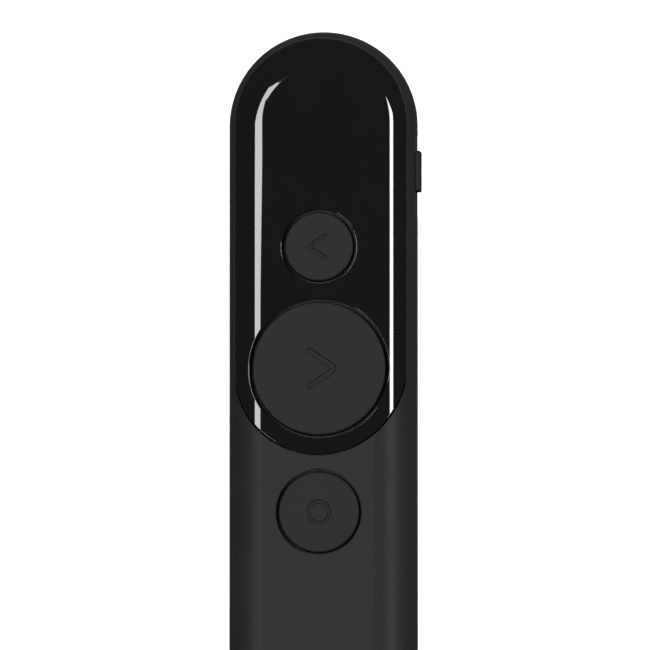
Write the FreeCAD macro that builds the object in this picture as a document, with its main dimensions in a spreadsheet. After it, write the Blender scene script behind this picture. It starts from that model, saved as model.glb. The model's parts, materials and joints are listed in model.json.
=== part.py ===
import FreeCAD, Part
import math
import os
import Sketcher

# A slim hand-held motion controller: a flat stadium-shaped wand that lies on its back.
# +Y points to the nose, +X to the side with the slide switch and +Z out of the button face.
# The origin is the middle of the flat back, so the whole controller lies at or above z = 0.

document = FreeCAD.newDocument("motion_controller")
Vector = FreeCAD.Vector

SIZES = {
    # Outer form: a stadium in plan with rounded shoulders, top and bottom alike.
    "body_length": 131.0,
    "body_width": 28.0,
    "body_thickness": 12.0,
    "shoulder_radius": 5.7,
    "wall": 1.8,
    "lip_height": 0.9,
    "lip_thickness": 0.75,
    "seam_gap": 0.08,
    "seam_line_width": 0.14,
    "seam_line_depth": 0.2,
    "overcut": 1.0,
    # Glossy inlay on the button face and the film that holds it.
    "panel_margin": 1.35,
    "panel_thickness": 0.8,
    "panel_gap": 0.12,
    "rim_land": 0.14,
    "film_thickness": 0.15,
    "film_margin": 0.6,
    # Buttons: offsets run back from the centre of the nose arc, the gap from the inlay's rear edge.
    "back_button_radius": 5.1,
    "back_button_offset": 18.4,
    "next_button_radius": 9.9,
    "next_button_offset": 36.5,
    "home_button_radius": 6.0,
    "home_button_gap": 2.65,
    "button_gap": 0.45,
    "button_drop": 0.1,
    "button_skin": 1.0,
    "button_rim": 1.2,
    "button_edge": 0.25,
    "guide_clearance": 0.15,
    "collar_depth": 2.6,
    "collar_width": 0.8,
    "flange_width": 1.0,
    "flange_thickness": 0.8,
    "button_travel": 0.4,
    "running_gap": 0.05,
    "stem_radius": 2.0,
    "foot_radius": 1.8,
    "foot_thickness": 0.8,
    "icon_depth": 0.15,
    "back_icon_width": 2.4,
    "back_icon_height": 3.6,
    "back_icon_stroke": 0.55,
    "next_icon_width": 4.2,
    "next_icon_height": 6.4,
    "next_icon_stroke": 0.8,
    "home_icon_inner": 1.35,
    "home_icon_outer": 1.83,
    # Tact switches under the buttons.
    "switch_side": 5.2,
    "switch_height": 1.7,
    "plunger_radius": 1.25,
    "plunger_stand": 0.5,
    "plunger_depth": 0.5,
    "plunger_clearance": 0.1,
    # Slide switch and its ribbed knob on the +X flank.
    "slider_offset": 6.9,
    "slider_travel": 1.5,
    "knob_length": 6.04,
    "knob_height": 3.0,
    "knob_stand": 0.5,
    "knob_rib_pitch": 0.68,
    "knob_groove_width": 0.3,
    "knob_groove_depth": 0.08,
    "knob_neck_length": 3.0,
    "knob_neck_height": 1.4,
    "knob_plate_length": 5.0,
    "knob_plate_thickness": 0.8,
    "knob_plate_lip": 0.4,
    "knob_joint": 0.2,
    "knob_clearance": 0.15,
    "scoop_length": 13.2,
    "scoop_height": 4.2,
    "scoop_depth": 0.15,
    "scoop_front": 3.0,
    "slide_switch_length": 6.8,
    "slide_switch_width": 2.8,
    "slide_switch_height": 1.8,
    "slide_switch_inset": 3.2,
    "lever_length": 1.2,
    "lever_height": 0.6,
    "lever_sink": 0.2,
    # Circuit boards.
    "board_standoff": 2.4,
    "board_thickness": 1.0,
    "board_edge_gap": 1.2,
    "board_tail_offset": 73.5,
    "usb_board_half_width": 5.0,
    "usb_board_shoulder": 2.5,
    "usb_board_step": 5.0,
    "usb_board_front": 3.6,
    "usb_board_end": 9.9,
    # Case screws, run in from the back under rubber plugs.
    "nose_screw_offset": 5.5,
    "middle_screw_offset": 70.5,
    "tail_screw_offset": 0.5,
    "screw_radius": 0.8,
    "screw_head_radius": 1.45,
    "screw_head_height": 1.0,
    "screw_length": 6.5,
    "screw_seat_height": 2.0,
    "screw_clearance": 0.15,
    "thread_clearance": 0.02,
    "boss_radius": 2.2,
    "pilot_roof": 0.8,
    "plug_radius": 1.9,
    "plug_thickness": 0.7,
    # Battery in the handle: it fills the length between the two boards, less a gap at each end.
    "battery_front_gap": 1.5,
    "battery_back_gap": 0.4,
    "battery_width": 18.0,
    "battery_height": 6.0,
    "battery_rounding": 1.0,
    "battery_foam": 0.4,
    "foam_margin": 1.0,
    "rib_thickness": 1.0,
    "rib_gap": 0.2,
    "lead_radius": 0.45,
    "lead_spacing": 1.4,
    "lead_rise": 1.0,
    "header_width": 4.4,
    "header_length": 3.0,
    "header_height": 2.0,
    "header_side": 6.0,
    "header_lead": 2.2,
    # Charging socket in the tail.
    "socket_width": 8.94,
    "socket_height": 3.2,
    "socket_length": 7.3,
    "socket_wall": 0.3,
    "socket_recess": 0.9,
    "socket_clearance": 0.18,
    "tongue_width": 6.69,
    "tongue_thickness": 0.7,
    "tongue_length": 5.2,
    # Flexible link from the main board to the socket board.
    "flex_width": 2.0,
    "flex_thickness": 0.2,
    "flex_side": 5.0,
    "flex_grip": 1.0,
    "flex_front_run": 1.5,
    "flex_rear_run": 0.8,
    "flex_clearance": 0.3,
    "flex_plug_lead": 2.0,
    "flex_plug_margin": 0.5,
    "flex_plug_length": 2.6,
    "flex_plug_height": 1.0,
    # Board parts: sides are distances across the board, offsets run back from the nose arc's centre
    # and leads run ahead of it.
    "radio_side": 4.5,
    "radio_offset": 6.0,
    "shield_width": 9.6,
    "shield_length": 9.0,
    "shield_height": 1.8,
    "shield_skin": 0.25,
    "chip_thickness": 0.9,
    "processor_width": 7.0,
    "sensor_width": 3.0,
    "sensor_offset": 27.0,
    "charge_chip_width": 4.0,
    "charge_chip_side": 6.0,
    "charge_chip_offset": 50.0,
    "antenna_width": 3.2,
    "antenna_length": 1.6,
    "antenna_height": 1.2,
    "antenna_lead": 9.4,
    "light_width": 1.6,
    "light_length": 0.8,
    "light_height": 0.6,
    "light_side": 3.4,
    "light_lead": 1.0,
    "light_pipe_radius": 0.6,
    "light_pipe_gap": 0.1,
    "passive_width": 0.8,
    "passive_length": 1.6,
    "passive_height": 0.6,
    "passive_side": 8.4,
    "passive_offset": 22.0,
    "passive_pitch": 2.6,
    "motor_radius": 4.0,
    "motor_height": 2.1,
    "motor_side": 6.2,
    "motor_offset": 48.3,
    "motor_tape": 0.15,
    "motor_tape_margin": 0.3,
}

sheet = document.addObject("Spreadsheet::Sheet", "sizes")
for row, (alias, size) in enumerate(SIZES.items(), start=1):
    sheet.set(f"A{row}", alias)
    sheet.set(f"B{row}", str(size))
    sheet.setAlias(f"B{row}", alias)
document.recompute()

# Places that follow from the sizes, as expressions in the sheet's names.
HALF_WIDTH = "(sizes.body_width / 2)"
NOSE_Y = "((sizes.body_length - sizes.body_width) / 2)"
TAIL_Y = f"(-{NOSE_Y})"
SEAM_Z = "(sizes.body_thickness / 2)"
FLOOR_Z = "sizes.wall"
CEILING_Z = "(sizes.body_thickness - sizes.wall)"
PANEL_BED = "(sizes.panel_thickness + sizes.film_thickness)"
SEAT_Z = "(sizes.body_thickness - sizes.collar_depth)"
BOARD_Z = "(sizes.wall + sizes.board_standoff)"
BOARD_TOP = f"({BOARD_Z} + sizes.board_thickness)"
SWITCH_TOP = f"({BOARD_TOP} + sizes.switch_height)"
PLUNGER_TOP = f"({SWITCH_TOP} + sizes.plunger_stand)"
FOOT_TOP = f"({PLUNGER_TOP} + sizes.foot_thickness)"
FACE_Z = "(sizes.body_thickness - sizes.button_drop)"
USB_BOARD_TOP = f"({SEAM_Z} - sizes.socket_height / 2)"
USB_BOARD_Z = f"({USB_BOARD_TOP} - sizes.board_thickness)"
BUTTON_Y = {
    "back": f"({NOSE_Y} - sizes.back_button_offset)",
    "next": f"({NOSE_Y} - sizes.next_button_offset)",
    "home": f"({NOSE_Y} - sizes.next_button_offset - {HALF_WIDTH} + sizes.panel_margin"
            " - sizes.home_button_gap - sizes.home_button_radius)",
}
SLIDER_Y = f"({NOSE_Y} - sizes.slider_offset)"
BOARD_HALF = f"({HALF_WIDTH} - sizes.wall - sizes.board_edge_gap)"
BOARD_TAIL_Y = f"({NOSE_Y} - sizes.board_tail_offset)"
BATTERY_FRONT = f"({BOARD_TAIL_Y} - sizes.battery_front_gap)"
BATTERY_BACK = f"({TAIL_Y} + sizes.usb_board_front + sizes.battery_back_gap)"
BATTERY_Y = f"(({BATTERY_FRONT} + {BATTERY_BACK}) / 2)"
BATTERY_LENGTH = f"({BATTERY_FRONT} - {BATTERY_BACK})"
BATTERY_Z = "(sizes.wall + sizes.battery_foam)"
SOCKET_MOUTH = "(-sizes.body_length / 2 + sizes.socket_recess)"
SLIDE_SWITCH_X = f"({BOARD_HALF} - sizes.slide_switch_inset)"
FLEX_FRONT_Y = f"({BOARD_TAIL_Y} + sizes.flex_plug_lead)"
FLEX_REAR_Y = f"({TAIL_Y} + sizes.usb_board_front - sizes.flex_plug_lead)"
LIGHT_PLACE = ("sizes.light_side", f"({NOSE_Y} + sizes.light_lead)")
MOTOR_PLACE = ("sizes.motor_side", f"({NOSE_Y} - sizes.motor_offset)")

LAND_REACH = "(sizes.shoulder_radius - sizes.panel_margin + sizes.panel_gap + sizes.rim_land)"
LAND_DROP = f"(sizes.shoulder_radius - sqrt(sizes.shoulder_radius ^ 2 - {LAND_REACH} ^ 2))"
LAND_Z = f"(sizes.body_thickness - {LAND_DROP})"

BUTTONS = ("back", "next", "home")
PANEL_BUTTONS = ("back", "next")
X_ACROSS = FreeCAD.Rotation(Vector(0, 1, 0), 90)
Y_ALONG = FreeCAD.Rotation(Vector(1, 0, 0), -90)
HORIZONTAL_AXIS, VERTICAL_AXIS = -1, -2
START, END, CENTRE = 1, 2, 3
PASSIVES_PER_ROW = 5
TOUCH = 1e-3


# ---------------------------------------------------------------- drawing helpers

def value(expression):
    """The number that an expression in the sheet's names stands for."""
    return float(sheet.evalExpression(expression))


def move(thing, x="0", y="0", z="0"):
    """Ties an object's place to the sheet."""
    for axis, expression in zip("xyz", (x, y, z)):
        thing.setExpression(f"Placement.Base.{axis}", expression)
    return thing


def block(name, size, centre, bottom):
    """A box centred on a point of the plan, standing at a height."""
    thing = document.addObject("Part::Box", name)
    for side, expression in zip(("Length", "Width", "Height"), size):
        thing.setExpression(side, expression)
    x, y = centre
    return move(thing, f"{x} - ({size[0]}) / 2", f"{y} - ({size[1]}) / 2", bottom)


def disc(name, radius, height, centre, bottom):
    """An upright cylinder on a point of the plan."""
    thing = document.addObject("Part::Cylinder", name)
    thing.setExpression("Radius", radius)
    thing.setExpression("Height", height)
    return move(thing, *centre, bottom)


def rod(name, turn, radius, length, start):
    """A lying cylinder that runs from a point along +X or +Y."""
    thing = document.addObject("Part::Cylinder", name)
    thing.Placement = FreeCAD.Placement(Vector(), turn)
    thing.setExpression("Radius", radius)
    thing.setExpression("Height", length)
    return move(thing, *start)


def fuse(name, *pieces):
    thing = document.addObject("Part::MultiFuse", name)
    thing.Shapes = list(pieces)
    return thing


def cut(name, base, *tools):
    thing = document.addObject("Part::Cut", name)
    thing.Base = base
    thing.Tool = tools[0] if len(tools) == 1 else fuse(f"{name}_tools", *tools)
    return thing


def common(name, *pieces):
    thing = document.addObject("Part::MultiCommon", name)
    thing.Shapes = list(pieces)
    return thing


def group(name, *pieces):
    """Separate solids that share one node."""
    thing = document.addObject("Part::Compound", name)
    thing.Links = list(pieces)
    return thing


def new_sketch(body, name, role="XY_Plane", lift="0"):
    """A sketch on one of the body's own origin planes, lifted along its normal."""
    sketch = body.newObject("Sketcher::SketchObject", name)
    support = next(plane for plane in body.Origin.OriginFeatures if plane.Role == role)
    sketch.AttachmentSupport = [(support, "")]
    sketch.MapMode = "FlatFace"
    sketch.setExpression("AttachmentOffset.Base.z", lift)
    return sketch


def pin(sketch, curve, end, x, y):
    """Holds a point of a sketch at a place that the sheet gives."""
    for kind, axis, expression in (("DistanceX", VERTICAL_AXIS, x), ("DistanceY", HORIZONTAL_AXIS, y)):
        if expression == "0":
            sketch.addConstraint(Sketcher.Constraint("PointOnObject", curve, end, axis))
            continue
        rule = Sketcher.Constraint(kind, HORIZONTAL_AXIS, START, curve, end, value(expression))
        index = sketch.addConstraint(rule)
        sketch.setExpression(f"Constraints[{index}]", expression)


def polygon(sketch, corners):
    """A closed outline of straight edges through corners given as expressions."""
    places = [Vector(value(x), value(y), 0) for x, y in corners]
    first = sketch.GeometryCount
    count = len(corners)
    for index in range(count):
        sketch.addGeometry(Part.LineSegment(places[index], places[(index + 1) % count]), False)
    for index in range(count):
        following = first + (index + 1) % count
        sketch.addConstraint(Sketcher.Constraint("Coincident", first + index, END, following, START))
    for index, (x, y) in enumerate(corners):
        pin(sketch, first + index, START, x, y)


def circle(sketch, radius):
    """A circle about the sketch's origin."""
    curve = sketch.addGeometry(Part.Circle(Vector(), Vector(0, 0, 1), value(radius)), False)
    pin(sketch, curve, CENTRE, "0", "0")
    rule = sketch.addConstraint(Sketcher.Constraint("Radius", curve, value(radius)))
    sketch.setExpression(f"Constraints[{rule}]", radius)


def stadium(sketch, radius, high, low):
    """Two half circles on the Y axis, at high and at low, joined by tangent sides."""
    half, top, bottom = value(radius), value(high), value(low)
    upward = Vector(0, 0, 1)
    right = sketch.addGeometry(Part.LineSegment(Vector(half, bottom, 0), Vector(half, top, 0)), False)
    cap = Part.ArcOfCircle(Part.Circle(Vector(0, top, 0), upward, half), 0, math.pi)
    nose = sketch.addGeometry(cap, False)
    left = sketch.addGeometry(Part.LineSegment(Vector(-half, top, 0), Vector(-half, bottom, 0)), False)
    cap = Part.ArcOfCircle(Part.Circle(Vector(0, bottom, 0), upward, half), math.pi, 2 * math.pi)
    tail = sketch.addGeometry(cap, False)
    for before, after in ((right, nose), (nose, left), (left, tail), (tail, right)):
        sketch.addConstraint(Sketcher.Constraint("Tangent", before, END, after, START))
    sketch.addConstraint(Sketcher.Constraint("Equal", nose, tail))
    pin(sketch, nose, CENTRE, "0", high)
    pin(sketch, tail, CENTRE, "0", low)
    rule = sketch.addConstraint(Sketcher.Constraint("Radius", nose, half))
    sketch.setExpression(f"Constraints[{rule}]", radius)


def pad(body, name, sketch, length):
    feature = body.newObject("PartDesign::Pad", name)
    feature.Profile = sketch
    feature.setExpression("Length", length)
    return feature


def pocket(body, name, sketch, depth):
    """A cut against the sketch's normal; it has to take material away."""
    before = body.Shape.Volume
    feature = body.newObject("PartDesign::Pocket", name)
    feature.Profile = sketch
    feature.setExpression("Length", depth)
    document.recompute()
    if feature.Shape.Volume >= before:
        raise RuntimeError(f"{name} cuts nothing")
    return feature


def revolve(body, name, sketch):
    """A full turn of a profile about the sketch's vertical axis."""
    feature = body.newObject("PartDesign::Revolution", name)
    feature.Profile = sketch
    feature.ReferenceAxis = (sketch, ["V_Axis"])
    feature.Angle = 360
    return feature


def round_edges(body, name, base, names, radius):
    feature = body.newObject("PartDesign::Fillet", name)
    feature.Base = (base, names)
    feature.setExpression("Radius", radius)
    return feature


# ---------------------------------------------------------------- shared forms

def pillow(name, inset):
    """The outer form, made smaller by an inset on every side."""
    body = document.addObject("PartDesign::Body", name)
    sketch = new_sketch(body, f"{name}_plan")
    stadium(sketch, f"{HALF_WIDTH} - {inset}", NOSE_Y, TAIL_Y)
    slab = pad(body, f"{name}_slab", sketch, f"sizes.body_thickness - 2 * {inset}")
    document.recompute()
    level = [f"Edge{index}" for index, edge in enumerate(slab.Shape.Edges, start=1)
             if edge.BoundBox.ZLength < TOUCH]
    round_edges(body, f"{name}_shoulders", slab, level, f"sizes.shoulder_radius - {inset}")
    return move(body, z=inset)


def stadium_prism(name, radius, high, low, bottom, height):
    """An upright stadium-shaped prism."""
    body = document.addObject("PartDesign::Body", name)
    sketch = new_sketch(body, f"{name}_plan")
    stadium(sketch, radius, high, low)
    pad(body, f"{name}_slab", sketch, height)
    return move(body, z=bottom)


def slot_across(name, length, height, depth, start, centre):
    """A slot with round ends that runs along Y, sunk along +X from a start."""
    y, z = centre
    reach = f"(({length}) - ({height})) / 2"
    middle = block(f"{name}_middle", (depth, f"({length}) - ({height})", height),
                   (f"{start} + ({depth}) / 2", y), f"{z} - ({height}) / 2")
    ends = [rod(f"{name}_{side}", X_ACROSS, f"({height}) / 2", depth, (start, f"{y} {sign} {reach}", z))
            for side, sign in (("front", "+"), ("rear", "-"))]
    return fuse(name, middle, *ends)


def button_radius(which):
    return f"sizes.{which}_button_radius"


def button_place(which):
    return ("0", BUTTON_Y[which])


def window(which, name, bottom):
    """The hole in the visible skin round a button, open upwards from a height."""
    return disc(name, f"{button_radius(which)} + sizes.button_gap", "sizes.body_thickness",
                button_place(which), bottom)


def panel_prism(name, shrink, bottom=SEAM_Z):
    """The plan of the glossy inlay: round the nose, and round the next button at its other end."""
    return stadium_prism(name, f"{HALF_WIDTH} - sizes.panel_margin - {shrink}", NOSE_Y,
                         button_place("next")[1], bottom, "sizes.body_thickness")


def screw_posts():
    """Name, place and bosses' two heights, under and over the board, of each case screw."""
    nose = f"({NOSE_Y} + sizes.nose_screw_offset)"
    middle = f"({NOSE_Y} - sizes.middle_screw_offset)"
    tail = f"({TAIL_Y} + sizes.tail_screw_offset)"
    return (("nose", ("0", nose), BOARD_Z, BOARD_TOP),
            ("middle", ("0", middle), BOARD_Z, BOARD_TOP),
            ("tail", ("0", tail), USB_BOARD_Z, USB_BOARD_TOP))


def slider_openings():
    """The shallow scoop in the flank and the slot that the knob's neck passes through."""
    scoop_y = f"({SLIDER_Y} + sizes.knob_length / 2 + sizes.scoop_front - sizes.scoop_length / 2)"
    scoop = slot_across("slider_scoop", "sizes.scoop_length", "sizes.scoop_height",
                        "sizes.scoop_depth + sizes.overcut", f"({HALF_WIDTH} - sizes.scoop_depth)",
                        (scoop_y, SEAM_Z))
    length = "(sizes.knob_neck_length + sizes.slider_travel + 2 * sizes.knob_clearance)"
    height = "(sizes.knob_neck_height + 2 * sizes.knob_clearance)"
    slot = block("slider_slot", ("2 * sizes.wall", length, height),
                 (f"{HALF_WIDTH} - sizes.wall", f"({SLIDER_Y} - sizes.slider_travel / 2)"),
                 f"{SEAM_Z} - {height} / 2")
    return fuse("slider_openings", scoop, slot)


def socket_form(name, growth, length, mouth):
    """The rounded bar of the charging socket, made larger by a growth on every side."""
    height = f"(sizes.socket_height + 2 * {growth})"
    reach = "((sizes.socket_width - sizes.socket_height) / 2)"
    bar = block(f"{name}_bar", (f"2 * {reach}", length, height), ("0", f"{mouth} + ({length}) / 2"),
                f"{SEAM_Z} - {height} / 2")
    ends = [rod(f"{name}_{side}", Y_ALONG, f"{height} / 2", length, (f"{sign}{reach}", mouth, SEAM_Z))
            for side, sign in (("right", ""), ("left", "-"))]
    return fuse(name, bar, *ends)


# ---------------------------------------------------------------- housing

def housing_halves():
    """Top and bottom shell, split at a fine seam line at mid height, with a lip on the bottom one."""
    outer = pillow("outer_form", "0")
    hollow = cut("hollow_form", outer, pillow("cavity", "sizes.wall"))
    whole = ("2 * sizes.body_width", "2 * sizes.body_length")
    upper = block("upper_space", (*whole, "sizes.body_thickness"), ("0", "0"), SEAM_Z)
    lower = block("lower_space", (*whole, "sizes.body_thickness"), ("0", "0"),
                  f"{SEAM_Z} - sizes.body_thickness")
    line_bottom = f"({SEAM_Z} - sizes.seam_line_width / 2)"
    line_outer = stadium_prism("seam_line_outer", f"{HALF_WIDTH} + sizes.overcut", NOSE_Y, TAIL_Y,
                               line_bottom, "sizes.seam_line_width")
    line_inner = stadium_prism("seam_line_inner", f"{HALF_WIDTH} - sizes.seam_line_depth", NOSE_Y, TAIL_Y,
                               line_bottom, "sizes.seam_line_width")
    openings = (slider_openings(), cut("seam_line", line_outer, line_inner),
                socket_form("socket_port", "sizes.socket_clearance", "3 * sizes.wall",
                            "(-sizes.body_length / 2 - sizes.wall)"))
    return (top_shell(outer, common("upper_skin", hollow, upper), openings),
            bottom_shell(outer, common("lower_skin", hollow, lower), openings))


def top_shell(outer, skin, openings):
    """The button side: collars, screw bosses, a bed for the inlay and a narrow level land round the bed."""
    collars = [disc(f"{which}_collar", f"{button_radius(which)} + sizes.flange_width + sizes.collar_width",
                    "sizes.collar_depth - sizes.wall / 2", button_place(which), SEAT_Z)
               for which in BUTTONS]
    bosses = [disc(f"{name}_upper_boss", "sizes.boss_radius", f"{CEILING_Z} + sizes.wall / 2 - {top}", place,
                   top)
              for name, place, under, top in screw_posts()]
    solid = fuse("top_solid", skin, common("top_fittings", fuse("top_posts", *collars, *bosses), outer))

    lip_side = f"{HALF_WIDTH} - sizes.wall + sizes.lip_thickness"
    rebate = stadium_prism("seam_rebate", f"{lip_side} + sizes.seam_gap", NOSE_Y, TAIL_Y, SEAM_Z,
                           "sizes.lip_height + sizes.seam_gap")
    core = stadium_prism("rebate_core", f"{HALF_WIDTH} - sizes.wall - sizes.lip_thickness", NOSE_Y, TAIL_Y,
                         SEAM_Z, "2 * sizes.lip_height")
    rebate_ring = cut("rebate_ring", rebate, core)
    bed = cut("panel_bed", panel_prism("panel_bed_plan", "(-sizes.panel_gap)"),
              pillow("bed_form", PANEL_BED))
    land = cut("rim_land", panel_prism("rim_land_outer", "(-sizes.panel_gap - sizes.rim_land)", LAND_Z),
               panel_prism("rim_land_inner", "(-sizes.panel_gap)", LAND_Z))
    holes = []
    for which in BUTTONS:
        guide = f"{button_radius(which)} + sizes.guide_clearance"
        room = "(sizes.flange_thickness + sizes.button_travel + 2 * sizes.guide_clearance)"
        if which not in PANEL_BUTTONS:
            holes.append(window(which, f"{which}_window", f"sizes.body_thickness - {PANEL_BED}"))
        holes.append(disc(f"{which}_guide", guide, "sizes.body_thickness", button_place(which), SEAM_Z))
        holes.append(disc(f"{which}_flange_room",
                          f"{button_radius(which)} + sizes.flange_width + sizes.guide_clearance",
                          room, button_place(which), f"{SEAT_Z} - {room}"))
    for name, place, under, top in screw_posts():
        holes.append(disc(f"{name}_pilot", "sizes.screw_radius + sizes.thread_clearance",
                          f"{CEILING_Z} - sizes.pilot_roof - {top} + sizes.overcut", place,
                          f"{top} - sizes.overcut"))
    holes.append(disc("light_pipe_hole", "sizes.light_pipe_radius + sizes.guide_clearance",
                      "sizes.body_thickness", LIGHT_PLACE, SEAM_Z))
    return cut("top_shell", solid, rebate_ring, bed, land, *holes, *openings)


def bottom_shell(outer, skin, openings):
    """The back: a lip at the seam, screw bosses, and ribs under the buttons and beside the battery."""
    lip = cut("seam_lip",
              stadium_prism("lip_outer", f"{HALF_WIDTH} - sizes.wall + sizes.lip_thickness", NOSE_Y, TAIL_Y,
                            f"({SEAM_Z} - sizes.lip_height)", "2 * sizes.lip_height"),
              stadium_prism("lip_inner", f"{HALF_WIDTH} - sizes.wall", NOSE_Y, TAIL_Y,
                            f"({SEAM_Z} - sizes.lip_height)", "2 * sizes.lip_height"))
    bosses = [disc(f"{name}_lower_boss", "sizes.boss_radius", f"{under} - sizes.wall / 2", place,
                   "sizes.wall / 2")
              for name, place, under, top in screw_posts()]
    ribs = [block(f"{which}_rib",
                  (f"2 * {BOARD_HALF}", "sizes.rib_thickness", f"{BOARD_Z} - sizes.wall / 2"),
                  button_place(which), "sizes.wall / 2")
            for which in BUTTONS]
    for name, y in (("front", f"({BATTERY_FRONT} + sizes.rib_gap + sizes.rib_thickness / 2)"),
                    ("rear", f"({BATTERY_BACK} - sizes.rib_gap - sizes.rib_thickness / 2)")):
        ribs.append(block(f"battery_{name}_rib",
                          ("sizes.battery_width", "sizes.rib_thickness",
                           f"{USB_BOARD_Z} - sizes.wall / 2"), ("0", y), "sizes.wall / 2"))
    fittings = common("bottom_fittings", fuse("bottom_posts", *bosses, *ribs), outer)
    solid = fuse("bottom_solid", skin, lip, fittings)
    holes = []
    for name, place, under, top in screw_posts():
        holes.append(disc(f"{name}_shank_hole", "sizes.screw_radius + sizes.screw_clearance", under, place,
                          "0"))
        holes.append(disc(f"{name}_head_hole", "sizes.screw_head_radius + sizes.screw_clearance",
                          "sizes.screw_seat_height", place, "0"))
        holes.append(disc(f"{name}_plug_hole", "sizes.plug_radius", "sizes.plug_thickness", place, "0"))
    return cut("bottom_shell", solid, *holes, *openings)


def gloss_panel():
    """The curved glossy inlay, which follows the shoulders and has a hole for each of its buttons."""
    sheet_form = common("panel_block", panel_prism("panel_plan", "0"), pillow("panel_top", "0"))
    holes = [window(which, f"panel_{which}_hole", SEAM_Z) for which in PANEL_BUTTONS]
    return cut("gloss_panel", sheet_form, pillow("panel_under", "sizes.panel_thickness"), *holes)


def panel_film():
    """The thin adhesive film between the inlay and its bed."""
    form = common("film_block", panel_prism("film_plan", "sizes.film_margin"),
                  pillow("film_top", "sizes.panel_thickness"))
    holes = [window(which, f"film_{which}_hole", SEAM_Z) for which in PANEL_BUTTONS]
    return cut("panel_adhesive", form, pillow("film_under", PANEL_BED), *holes)


def case_screws():
    screws = []
    for name, place, under, top in screw_posts():
        body = document.addObject("PartDesign::Body", f"{name}_screw")
        sketch = new_sketch(body, f"{name}_screw_profile", "XZ_Plane")
        seat = "sizes.screw_seat_height"
        polygon(sketch, (("0", f"{seat} - sizes.screw_head_height"),
                         ("sizes.screw_head_radius", f"{seat} - sizes.screw_head_height"),
                         ("sizes.screw_head_radius", seat),
                         ("sizes.screw_radius", seat),
                         ("sizes.screw_radius", f"{seat} + sizes.screw_length"),
                         ("0", f"{seat} + sizes.screw_length")))
        revolve(body, f"{name}_screw_turn", sketch)
        screws.append(move(body, *place))
    return group("case_screws", *screws)


def screw_plugs():
    """Rubber discs that hide the screw heads, flush with the back."""
    plugs = [disc(f"{name}_plug", "sizes.plug_radius - sizes.running_gap",
                  "sizes.plug_thickness - sizes.running_gap", place, "sizes.running_gap / 2")
             for name, place, under, top in screw_posts()]
    return group("screw_plugs", *plugs)


# ---------------------------------------------------------------- buttons

def button_form(which):
    """A moulded cap: a face with a rim, a retaining flange and a central stem."""
    face, flange = button_radius(which), f"({button_radius(which)} + sizes.flange_width)"
    top = f"({SEAT_Z} - sizes.running_gap)"
    bottom = f"({top} - sizes.flange_thickness)"
    under = f"({FACE_Z} - sizes.button_skin)"
    inner = f"({face} - sizes.button_rim)"
    body = document.addObject("PartDesign::Body", f"{which}_button")
    sketch = new_sketch(body, f"{which}_button_profile", "XZ_Plane")
    polygon(sketch, (("0", FACE_Z), (face, FACE_Z), (face, top), (flange, top), (flange, bottom),
                     (inner, bottom), (inner, under), ("sizes.stem_radius", under),
                     ("sizes.stem_radius", FOOT_TOP), ("0", FOOT_TOP)))
    turned = revolve(body, f"{which}_button_turn", sketch)
    document.recompute()
    rim = [f"Edge{index}" for index, edge in enumerate(turned.Shape.Edges, start=1)
           if edge.BoundBox.ZLength < TOUCH and abs(edge.BoundBox.ZMax - value(FACE_Z)) < TOUCH
           and edge.BoundBox.XLength > 2 * value(face) - TOUCH]
    round_edges(body, f"{which}_button_edge", turned, rim, "sizes.button_edge")
    move(body, *button_place(which))
    document.recompute()
    return body


def chevron(sketch, which, direction):
    """An arrow head without a shaft; direction 1 points to +X and -1 to -X."""
    width, height = f"sizes.{which}_icon_width", f"sizes.{which}_icon_height"
    arm = f"(sizes.{which}_icon_stroke * sqrt({width} ^ 2 + ({height} / 2) ^ 2) / ({height} / 2))"
    tip, tail = f"{direction} * {width} / 2", f"{-direction} * {width} / 2"
    polygon(sketch, ((tip, "0"), (tail + f" + {direction} * {arm}", f"{height} / 2"),
                     (tail, f"{height} / 2"), (tip + f" - {direction} * {arm}", "0"),
                     (tail, f"-{height} / 2"), (tail + f" + {direction} * {arm}", f"-{height} / 2")))


def chevron_button(which, direction):
    body = button_form(which)
    sketch = new_sketch(body, f"{which}_icon", lift=FACE_Z)
    chevron(sketch, which, direction)
    pocket(body, f"{which}_icon_cut", sketch, "sizes.icon_depth")
    return body


def ring_button(which):
    body = button_form(which)
    sketch = new_sketch(body, f"{which}_icon", lift=FACE_Z)
    circle(sketch, "sizes.home_icon_outer")
    circle(sketch, "sizes.home_icon_inner")
    pocket(body, f"{which}_icon_cut", sketch, "sizes.icon_depth")
    return body


def button_foot(which):
    """The rubber foot between a button's stem and its switch."""
    return disc(f"{which}_button_foot", "sizes.foot_radius", "sizes.foot_thickness", button_place(which),
                PLUNGER_TOP)


def tact_switch(which):
    """The switch body, with a well for its plunger."""
    side = "sizes.switch_side"
    case = block(f"{which}_switch_case", (side, side, "sizes.switch_height"), button_place(which), BOARD_TOP)
    depth = "(sizes.plunger_depth + sizes.button_travel + sizes.plunger_clearance)"
    well = disc(f"{which}_switch_well", "sizes.plunger_radius + sizes.plunger_clearance",
                f"{depth} + sizes.overcut", button_place(which), f"{SWITCH_TOP} - {depth}")
    return cut(f"{which}_switch", case, well)


def switch_plunger(which):
    """The part of the switch that the foot pushes down."""
    return disc(f"{which}_switch_plunger", "sizes.plunger_radius",
                "sizes.plunger_depth + sizes.plunger_stand", button_place(which),
                f"{SWITCH_TOP} - sizes.plunger_depth")


# ---------------------------------------------------------------- slide switch

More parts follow.
